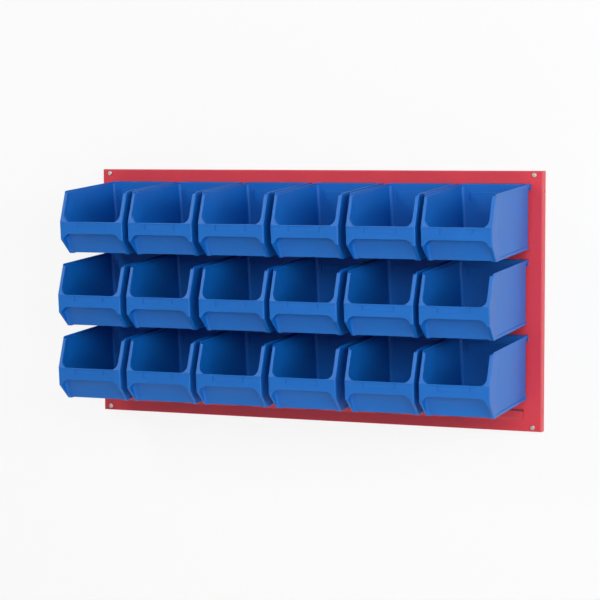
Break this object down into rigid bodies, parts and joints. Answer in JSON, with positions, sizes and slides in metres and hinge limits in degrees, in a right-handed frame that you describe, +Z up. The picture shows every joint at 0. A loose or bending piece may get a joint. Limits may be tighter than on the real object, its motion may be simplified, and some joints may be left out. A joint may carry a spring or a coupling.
{
  "type": "louvred panel with hanging parts bins",
  "caption": "Wall-mounted louvred steel panel carrying rows of open-fronted plastic parts bins that hook over its louvres and lift off.",
  "frame": {"origin": "middle of the four wall fixings, on the wall face", "axes": "+X to the right along the panel seen from the front, +Y into the wall, +Z up; the bins stand out towards -Y"},
  "size_m": [1.024, 0.3127, 0.54],
  "materials": {
    "panel_sheet": "satin powder coat",
    "bin_plastic": "fine-grained moulded polypropylene",
    "screw_steel": "zinc plated"
  },
  "bodies": {
    "panel": {"louvred_panel": "panel_sheet", "wall_screws": "screw_steel"},
    "bin_r1_c1_body": {"bin_r1_c1": "bin_plastic"},
    "bin_r1_c2_body": {"bin_r1_c2": "bin_plastic"},
    "bin_r1_c3_body": {"bin_r1_c3": "bin_plastic"},
    "bin_r1_c4_body": {"bin_r1_c4": "bin_plastic"},
    "bin_r1_c5_body": {"bin_r1_c5": "bin_plastic"},
    "bin_r1_c6_body": {"bin_r1_c6": "bin_plastic"},
    "bin_r2_c1_body": {"bin_r2_c1": "bin_plastic"},
    "bin_r2_c2_body": {"bin_r2_c2": "bin_plastic"},
    "bin_r2_c3_body": {"bin_r2_c3": "bin_plastic"},
    "bin_r2_c4_body": {"bin_r2_c4": "bin_plastic"},
    "bin_r2_c5_body": {"bin_r2_c5": "bin_plastic"},
    "bin_r2_c6_body": {"bin_r2_c6": "bin_plastic"},
    "bin_r3_c1_body": {"bin_r3_c1": "bin_plastic"},
    "bin_r3_c2_body": {"bin_r3_c2": "bin_plastic"},
    "bin_r3_c3_body": {"bin_r3_c3": "bin_plastic"},
    "bin_r3_c4_body": {"bin_r3_c4": "bin_plastic"},
    "bin_r3_c5_body": {"bin_r3_c5": "bin_plastic"},
    "bin_r3_c6_body": {"bin_r3_c6": "bin_plastic"}
  },
  "joints": [
    {"name": "bin_r1_c1_lift", "type": "slide", "parent": "panel", "child": "bin_r1_c1_body", "axis": [0, -0.0791, 0.9969], "range_m": [0, 0.16]},
    {"name": "bin_r1_c2_lift", "type": "slide", "parent": "panel", "child": "bin_r1_c2_body", "axis": [0, -0.0791, 0.9969], "range_m": [0, 0.16]},
    {"name": "bin_r1_c3_lift", "type": "slide", "parent": "panel", "child": "bin_r1_c3_body", "axis": [0, -0.0791, 0.9969], "range_m": [0, 0.16]},
    {"name": "bin_r1_c4_lift", "type": "slide", "parent": "panel", "child": "bin_r1_c4_body", "axis": [0, -0.0791, 0.9969], "range_m": [0, 0.16]},
    {"name": "bin_r1_c5_lift", "type": "slide", "parent": "panel", "child": "bin_r1_c5_body", "axis": [0, -0.0791, 0.9969], "range_m": [0, 0.16]},
    {"name": "bin_r1_c6_lift", "type": "slide", "parent": "panel", "child": "bin_r1_c6_body", "axis": [0, -0.0791, 0.9969], "range_m": [0, 0.16]},
    {"name": "bin_r2_c1_lift", "type": "slide", "parent": "panel", "child": "bin_r2_c1_body", "axis": [0, -0.0791, 0.9969], "range_m": [0, 0.018]},
    {"name": "bin_r2_c2_lift", "type": "slide", "parent": "panel", "child": "bin_r2_c2_body", "axis": [0, -0.0791, 0.9969], "range_m": [0, 0.018]},
    {"name": "bin_r2_c3_lift", "type": "slide", "parent": "panel", "child": "bin_r2_c3_body", "axis": [0, -0.0791, 0.9969], "range_m": [0, 0.018]},
    {"name": "bin_r2_c4_lift", "type": "slide", "parent": "panel", "child": "bin_r2_c4_body", "axis": [0, -0.0791, 0.9969], "range_m": [0, 0.018]},
    {"name": "bin_r2_c5_lift", "type": "slide", "parent": "panel", "child": "bin_r2_c5_body", "axis": [0, -0.0791, 0.9969], "range_m": [0, 0.018]},
    {"name": "bin_r2_c6_lift", "type": "slide", "parent": "panel", "child": "bin_r2_c6_body", "axis": [0, -0.0791, 0.9969], "range_m": [0, 0.018]},
    {"name": "bin_r3_c1_lift", "type": "slide", "parent": "panel", "child": "bin_r3_c1_body", "axis": [0, -0.0791, 0.9969], "range_m": [0, 0.018]},
    {"name": "bin_r3_c2_lift", "type": "slide", "parent": "panel", "child": "bin_r3_c2_body", "axis": [0, -0.0791, 0.9969], "range_m": [0, 0.018]},
    {"name": "bin_r3_c3_lift", "type": "slide", "parent": "panel", "child": "bin_r3_c3_body", "axis": [0, -0.0791, 0.9969], "range_m": [0, 0.018]},
    {"name": "bin_r3_c4_lift", "type": "slide", "parent": "panel", "child": "bin_r3_c4_body", "axis": [0, -0.0791, 0.9969], "range_m": [0, 0.018]},
    {"name": "bin_r3_c5_lift", "type": "slide", "parent": "panel", "child": "bin_r3_c5_body", "axis": [0, -0.0791, 0.9969], "range_m": [0, 0.018]},
    {"name": "bin_r3_c6_lift", "type": "slide", "parent": "panel", "child": "bin_r3_c6_body", "axis": [0, -0.0791, 0.9969], "range_m": [0, 0.018]}
  ]
}
